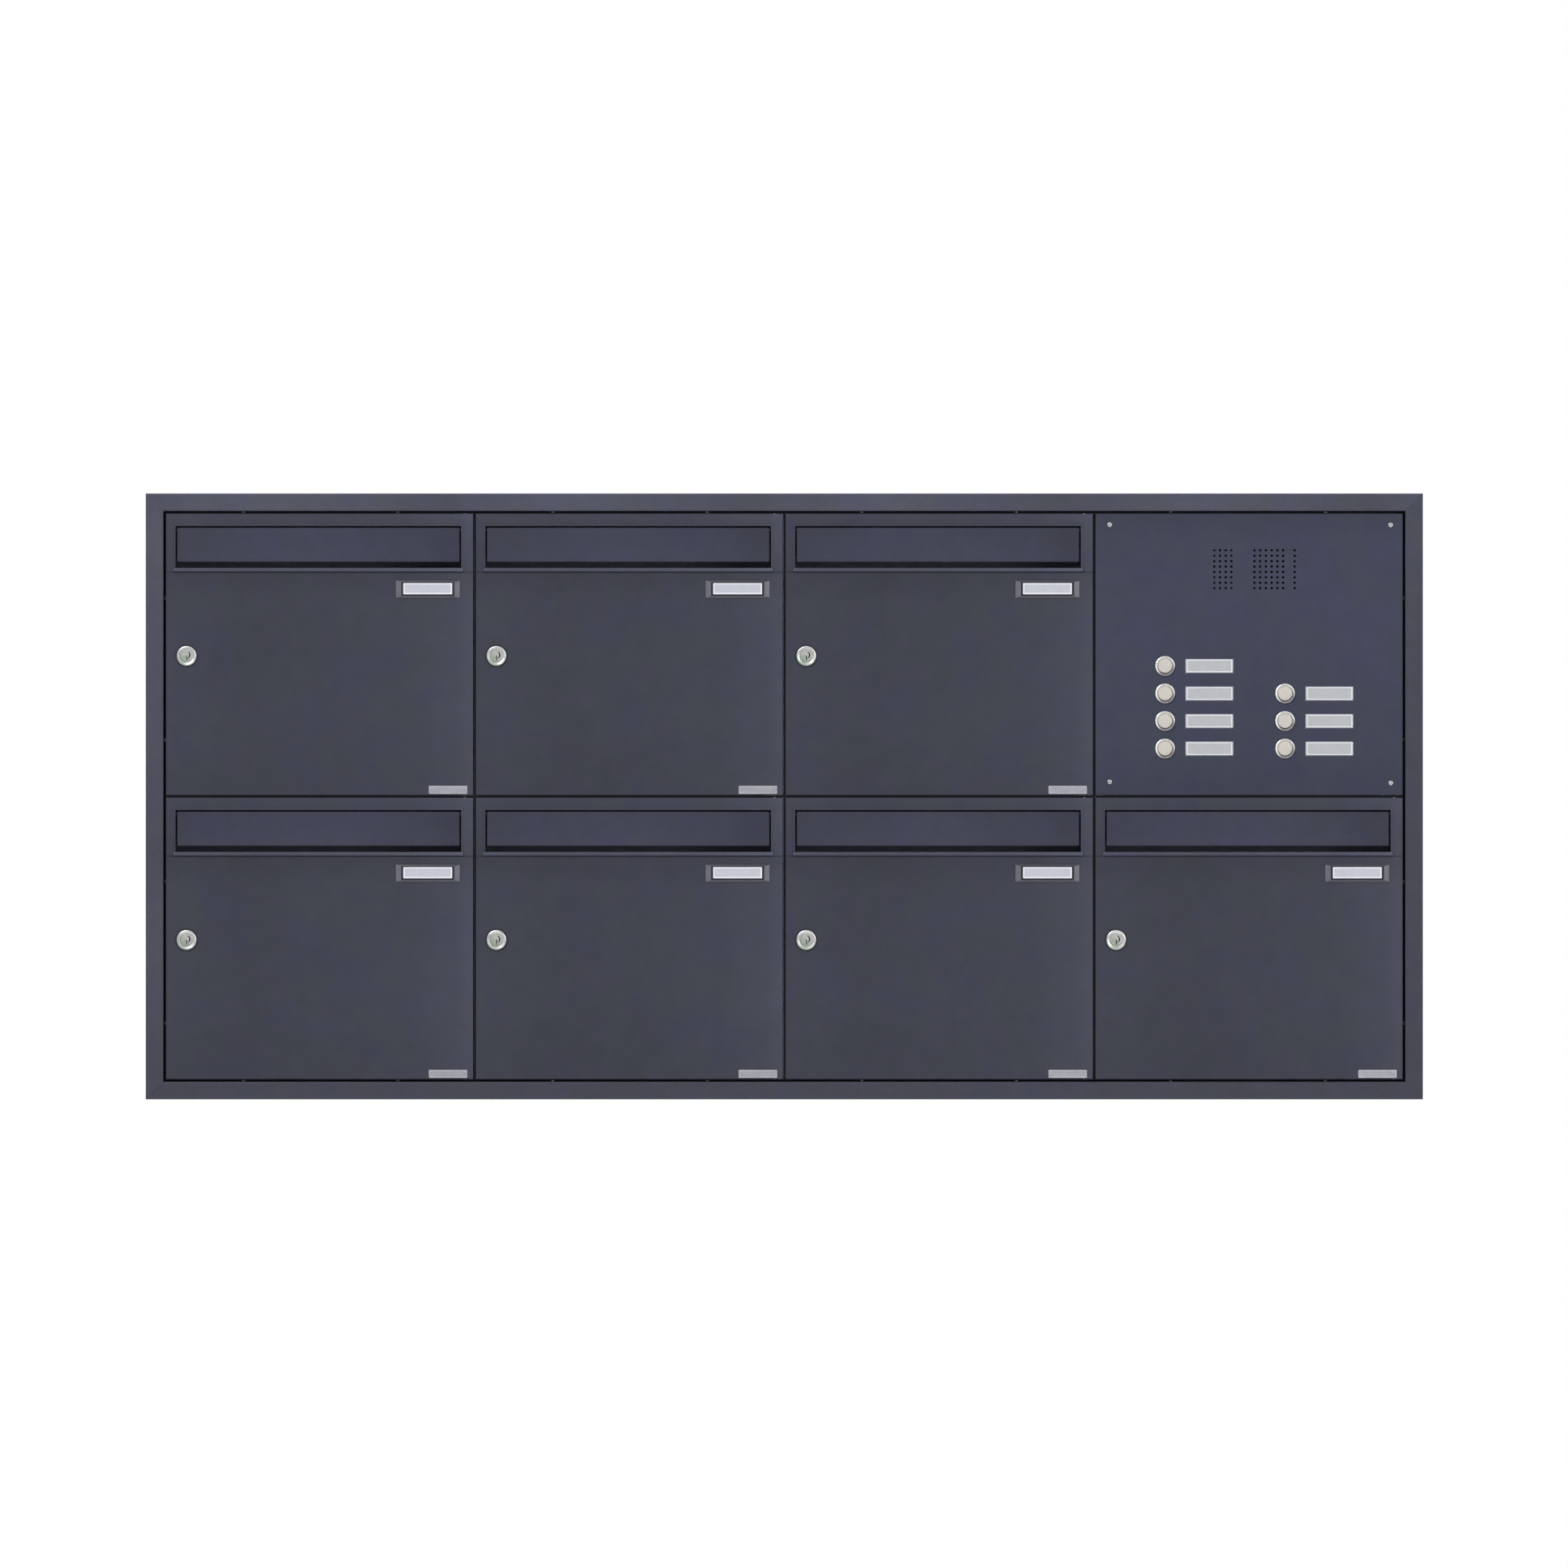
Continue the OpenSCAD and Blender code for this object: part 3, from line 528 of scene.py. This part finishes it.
def zinc(name):
    """Zinc-plated steel with a faint spangle."""
    m = Mat(name)
    cells = m.voronoi(420.0, "F1", out="Color")
    sep = m.n("ShaderNodeSeparateColor")
    m.link(cells, sep.inputs[0])
    t = m.math("MULTIPLY", m.span(sep.outputs[0], 0.0, 1.0, 0.90, 1.06, False), m.span(m.noise(90.0, 3.0, 0.6), 0.3, 0.7, 0.95, 1.04, False))
    m.to("Base Color", m.scale_colour((0.55, 0.56, 0.57), t))
    m.b.inputs["Metallic"].default_value = 1.0
    m.to("Roughness", m.span(sep.outputs[1], 0.0, 1.0, 0.30, 0.42, False))
    m.to("Normal", m.bump(m.noise(900.0, 3.0, 0.6), 0.2, 0.00005))
    return m.m


def plastic(name, base, rough=0.35, spec=0.5, grain=1200.0, depth=0.00003, vary=0.05, tone=None, metallic=0.0):
    """Moulded plastic or card with a faint skin."""
    m = Mat(name)
    cloud = m.noise(130.0, 3.0, 0.55)
    fine = m.noise(grain, 2.0, 0.5)
    t = m.math("MULTIPLY", m.span(cloud, 0.3, 0.7, 1 - vary, 1 + vary * 0.6, False), m.span(fine, 0.3, 0.7, 1 - vary * 0.5, 1 + vary * 0.3, False))
    if tone is not None:
        t = m.math("MULTIPLY", t, tone(m))
    m.to("Base Color", m.scale_colour(base, t))
    m.b.inputs["Specular IOR Level"].default_value = spec
    m.b.inputs["Metallic"].default_value = metallic
    m.to("Roughness", m.span(cloud, 0.3, 0.7, rough - 0.03, rough + 0.05, False))
    m.to("Normal", m.bump(fine, 0.3, depth))
    return m.m


def board(name):
    """Circuit board: green lacquer over copper tracks."""
    m = Mat(name)
    x, y, z = m.xyz()
    a = m.math("PINGPONG", m.math("ADD", x, m.math("MULTIPLY", m.noise(30.0, 0.0), 0.01)), 0.0016)
    b = m.math("PINGPONG", m.math("ADD", z, m.math("MULTIPLY", m.noise(22.0, 0.0), 0.012)), 0.0021)
    tracks = m.math("MINIMUM", m.span(a, 0.0007, 0.0010, 0.0, 1.0), m.span(b, 0.0009, 0.0013, 0.0, 1.0))
    colour = m.mix(tracks, (0.05, 0.21, 0.10), (0.025, 0.12, 0.055))
    m.to("Base Color", m.scale_colour(colour, m.span(m.noise(300.0), 0.3, 0.7, 0.93, 1.05, False)))
    m.to("Roughness", m.span(m.noise(200.0), 0.3, 0.7, 0.28, 0.36, False))
    m.to("Normal", m.bump(tracks, 0.3, 0.00005))
    return m.m


nickel_screw = metal("nickel_screw", (0.72, 0.72, 0.72), 0.28)
zinc_steel = zinc("zinc_steel")
black_plastic = plastic("black_plastic", (0.020, 0.020, 0.023), 0.5, 0.4, 1500.0, 0.00006, 0.12)
rubber = plastic("rubber", (0.014, 0.014, 0.015), 0.75, 0.25, 900.0, 0.00008, 0.15)
circuit_board = board("circuit_board")
cream = plastic("cream_plastic", (0.60, 0.565, 0.52), 0.30, 0.5, 1600.0, 0.00002, 0.03)
holder_dark = plastic("holder_smoked", (0.055, 0.058, 0.074), 0.32, 0.45, 1300.0, 0.00002, 0.08)
# the bevel and groove materials are lit and shaded copies of the smoked plastic: painted light on the side and bottom
# bevels, painted shade on the top bevel and in the groove
holder_sides_painted_light = plastic("holder_bevel", (0.128, 0.130, 0.160), 0.34, 0.5, 1300.0, 0.00002, 0.10)
holder_top_painted_shade = plastic("holder_top_bevel", (0.050, 0.053, 0.068), 0.34, 0.4, 1300.0, 0.00002, 0.08)
holder_bottom_painted_light = plastic("holder_bottom_bevel", (0.078, 0.081, 0.100), 0.34, 0.4, 1300.0, 0.00002, 0.08)
holder_groove_painted_shade = plastic("holder_groove_painted_shade", (0.026, 0.028, 0.038), 0.4, 0.3, 1300.0, 0.00002, 0.08)
insert_edge = plastic("insert_edge", (0.83, 0.83, 0.90), 0.35, 0.5, 1300.0, 0.00001, 0.02)
insert_card = plastic("insert_card", (0.54, 0.555, 0.625), 0.42, 0.4, 2600.0, 0.00002, 0.04)
window_edge = plastic("window_edge", (0.80, 0.81, 0.86), 0.3, 0.5, 1300.0, 0.00001, 0.02)
window_card = plastic("window_card", (0.475, 0.49, 0.51), 0.38, 0.4, 2600.0, 0.00002, 0.04)
badge_edge = metal("badge_edge", (0.80, 0.80, 0.84), 0.3, (0.04, 1, 1))
badge_face = metal("badge_face", (0.56, 0.575, 0.64), 0.36, (0.03, 1, 1), 0.12)

# ------------------------------------------------------------------ CAD nodes that stay


def dress(node, material):
    o = NODES[node]
    me = o.data
    me.materials.clear()
    me.materials.append(material)
    for p in me.polygons:
        p.material_index = 0


for i in range(1, 8):
    dress(f"mailbox_shell_{i}", paint_inner)
    dress(f"door_panel_{i}", paint_door)
    dress(f"letter_flap_{i}", paint_flap)
    dress(f"lock_barrel_{i}", nickel_lock)
    dress(f"lock_cylinder_{i}", nickel_plug)
    dress(f"bell_button_{i}", cream)
dress("surround_frame", paint_frame)
dress("intercom_back_box", paint_inner)
dress("intercom_panel", paint_panel)
dress("door_hinge_pins", zinc_steel)
dress("coupling_bolts", zinc_steel)
dress("panel_screws", nickel_screw)
dress("bell_button_housings", nickel_ring)
dress("speech_module", black_plastic)
dress("terminal_board", circuit_board)
dress("cable_grommet", rubber)

# ------------------------------------------------------------------ name plates


def side_of(i, seg):
    """Which side of a rounded rectangle band face i lies on: right, top, left or bottom."""
    arc, k = divmod(i, seg + 1)
    if k == seg:
        return ("top", "left", "bottom", "right")[arc]
    first, second = (("right", "top"), ("top", "left"), ("left", "bottom"), ("bottom", "right"))[arc]
    return first if k < seg / 2 else second


def bands(bm, rings, cx, cz, seg, pick, cap_first=None, cap_last=None):
    """As stack, but pick(band, side) gives each face's material."""
    made = [[bm.verts.new((cx + x, y, cz + z)) for x, z in loop(hw, hh, r, seg)] for hw, hh, r, y in rings]
    n = len(made[0])
    for k in range(len(made) - 1):
        for i in range(n):
            j = (i + 1) % n
            f = bm.faces.new((made[k][i], made[k][j], made[k + 1][j], made[k + 1][i]))
            f.material_index = pick(k, side_of(i, seg))
    if cap_first is not None:
        bm.faces.new(list(reversed(made[0]))).material_index = cap_first
    if cap_last is not None:
        bm.faces.new(made[-1]).material_index = cap_last


def name_plate(i):
    x0, zt = cell(COL[i], ROW[i])
    cx, cz = x0 + 0.30575, zt - 0.08925
    hw, hh = 0.03725, 0.01025
    bm = bmesh.new()
    rings = [
        (hw - 0.0080, hh - 0.0024, 0.0006, YF + 0.0030),
        (hw - 0.0078, hh - 0.0024, 0.0006, YF - 0.00002),
        (hw, hh, 0.0010, YF - 0.00002),
        (hw, hh, 0.0010, YF - 0.0006),
        (hw - 0.00012, hh - 0.00012, 0.0009, YF - 0.00085),
        (hw - 0.0004, hh - 0.0004, 0.0008, YF - 0.0010),
        (hw - 0.0056, hh - 0.0019, 0.0005, YF - 0.0018),
        (hw - 0.0060, hh - 0.0022, 0.0004, YF - 0.0019),
        (hw - 0.0064, hh - 0.0025, 0.0004, YF - 0.0017),
        (hw - 0.0066, hh - 0.0027, 0.0004, YF - 0.0008),
        (0.02845, 0.00695, 0.0003, YF - 0.0008),
        (0.02845, 0.00695, 0.0003, YF - 0.0006),
    ]

    def pick(band, side):
        # painted shade in the groove and on the top bevel, painted light on the side and bottom bevels
        if band >= 8:
            return 2
        if band >= 4 and side in ("left", "right"):
            return 1
        if band >= 4 and side == "top":
            return 3
        if band >= 4 and side == "bottom":
            return 4
        return 0

    bands(bm, rings, cx, cz, 4, pick, cap_first=0, cap_last=2)
    holder = finish_mesh(f"name_plate_holder_{i}", bm, [holder_dark, holder_sides_painted_light, holder_groove_painted_shade, holder_top_painted_shade, holder_bottom_painted_light], f"door_{i}", 20)
    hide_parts(f"name_plate_{i}")

    bm = bmesh.new()
    hw, hh = 0.0284, 0.0065
    rings = [
        (hw, hh, 0.0003, YF - 0.00055),
        (hw, hh, 0.0003, YF - 0.00115),
        (hw - 0.00015, hh - 0.00015, 0.0003, YF - 0.0013),
        (hw - 0.0015, hh - 0.0014, 0.0003, YF - 0.0013),
        (hw - 0.0017, hh - 0.0016, 0.0002, YF - 0.0011),
    ]
    bands(bm, rings, cx, cz + 0.0006, 3, lambda band, side: 0, cap_first=0, cap_last=1)
    finish_mesh(f"name_card_{i}", bm, [insert_edge, insert_card], f"door_{i}", 20)


# ------------------------------------------------------------------ small blank plates at the lower right of each door


def badge(i):
    x0, zt = cell(COL[i], ROW[i])
    cx, cz = x0 + 0.3293, zt - 0.32235
    hw, hh = 0.0223, 0.0046
    bm = bmesh.new()
    rings = [
        (hw, hh, 0.0005, YF - 0.00001),
        (hw, hh, 0.0005, YF - 0.0006),
        (hw - 0.0002, hh - 0.0002, 0.0004, YF - 0.0008),
        (hw - 0.0010, hh - 0.0010, 0.0003, YF - 0.0008),
        (hw - 0.0012, hh - 0.0012, 0.0003, YF - 0.00062),
    ]
    bands(bm, rings, cx, cz, 3, lambda band, side: 0, cap_first=0, cap_last=1)
    finish_mesh(f"door_badge_{i}", bm, [badge_edge, badge_face], f"door_{i}", 20)


# ------------------------------------------------------------------ bell name windows


def bell_windows():
    x0, zt = cell(3, 0)
    bm = bmesh.new()
    for k in range(1, 8):
        cx = x0 + (0.134 if k <= 4 else 0.2735)
        cz = zt - 0.1784 - 0.032 * ((k - 1) if k <= 4 else (k - 4))
        hw, hh = 0.0268, 0.0075
        rings = [
            (hw + 0.0030, hh + 0.0024, 0.0006, YF + 0.0031),
            (hw + 0.0030, hh + 0.0024, 0.0006, YF + 0.00152),
            (hw, hh, 0.0006, YF + 0.00152),
            (hw, hh, 0.0006, YF - 0.00012),
            (hw - 0.00018, hh - 0.00018, 0.0005, YF - 0.0003),
            (hw - 0.0013, hh - 0.0011, 0.0003, YF - 0.0003),
            (hw - 0.0015, hh - 0.0013, 0.0003, YF - 0.00005),
        ]
        bands(bm, rings, cx, cz, 3, lambda band, side: 0, cap_first=0, cap_last=1)
    o = finish_mesh("bell_window_inserts", bm, [window_edge, window_card], "root", 20)
    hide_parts("bell_name_windows")


# ------------------------------------------------------------------ rubber door buffers on the lips of the boxes


def buffers():
    for i in range(1, 8):
        x0, zt = cell(COL[i], ROW[i])
        bm = bmesh.new()
        for dx, dz in ((0.0062, -0.030), (0.0062, -0.300)):
            spin(bm, [(0.0, -0.0890), (0.0040, -0.0890), (0.0040, -0.0894), (0.0036, -0.0899), (0.0026, -0.09035), (0.0012, -0.0906), (0.0, -0.09065)], x0 + dx, zt + dz, 32)
        finish_mesh(f"door_buffers_{i}", bm, [rubber], "root", 50)


for i in range(1, 8):
    name_plate(i)
    badge(i)
bell_windows()
buffers()

# ------------------------------------------------------------------ stage, light


def stage():
    me = bpy.data.meshes.new("floor")
    bm = bmesh.new()
    z = cad_lo.z - 0.95
    n = 96
    ring = [bm.verts.new((2.6 * math.cos(2 * math.pi * k / n), 2.6 * math.sin(2 * math.pi * k / n) - 0.05, z)) for k in range(n)]
    bm.faces.new(ring)
    bm.to_mesh(me)
    bm.free()
    m = Mat("floor")
    m.to("Base Color", m.scale_colour((0.93, 0.93, 0.925), m.span(m.noise(3.0, 3.0), 0.3, 0.7, 0.985, 1.0, False)))
    m.b.inputs["Roughness"].default_value = 0.9
    m.b.inputs["Specular IOR Level"].default_value = 0.1
    me.materials.append(m.m)
    o = bpy.data.objects.new("floor", me)
    scene.collection.objects.link(o)

    world = bpy.data.worlds.new("studio")
    scene.world = world
    world.use_nodes = True
    nt = world.node_tree
    nt.nodes.clear()
    out = nt.nodes.new("ShaderNodeOutputWorld")
    mix = nt.nodes.new("ShaderNodeMixShader")
    path = nt.nodes.new("ShaderNodeLightPath")
    seen = nt.nodes.new("ShaderNodeBackground")
    seen.inputs[0].default_value = (0.995, 1.0, 0.995, 1)
    seen.inputs[1].default_value = 1.0
    lit = nt.nodes.new("ShaderNodeBackground")
    co = nt.nodes.new("ShaderNodeTexCoord")
    sep = nt.nodes.new("ShaderNodeSeparateXYZ")
    nt.links.new(co.outputs["Generated"], sep.inputs[0])
    ramp = nt.nodes.new("ShaderNodeMapRange")
    ramp.inputs["From Min"].default_value = -0.8
    ramp.inputs["From Max"].default_value = 0.8
    ramp.inputs["To Min"].default_value = 0.33
    ramp.inputs["To Max"].default_value = 0.66
    nt.links.new(sep.outputs["Z"], ramp.inputs["Value"])
    lit.inputs[0].default_value = (1, 1, 1, 1)
    nt.links.new(ramp.outputs["Result"], lit.inputs[1])
    nt.links.new(path.outputs["Is Camera Ray"], mix.inputs[0])
    nt.links.new(lit.outputs[0], mix.inputs[1])
    nt.links.new(seen.outputs[0], mix.inputs[2])
    nt.links.new(mix.outputs[0], out.inputs["Surface"])

    def area(name, at, to, size, energy, colour=(1, 1, 1)):
        d = bpy.data.lights.new(name, "AREA")
        d.shape = "DISK"
        d.size = size
        d.energy = energy
        d.color = colour
        a = bpy.data.objects.new(name, d)
        scene.collection.objects.link(a)
        a.location = at
        a.rotation_euler = (Vector(to) - Vector(at)).to_track_quat("-Z", "Y").to_euler()

    area("key", (-2.6, -4.2, 3.4), (0, -0.1, 0), 2.4, 148)
    area("fill", (3.0, -4.0, 1.0), (0, -0.1, 0), 2.6, 47)
    area("back", (2.2, 4.0, 2.4), (0, 0, 0), 2.6, 101)


stage()
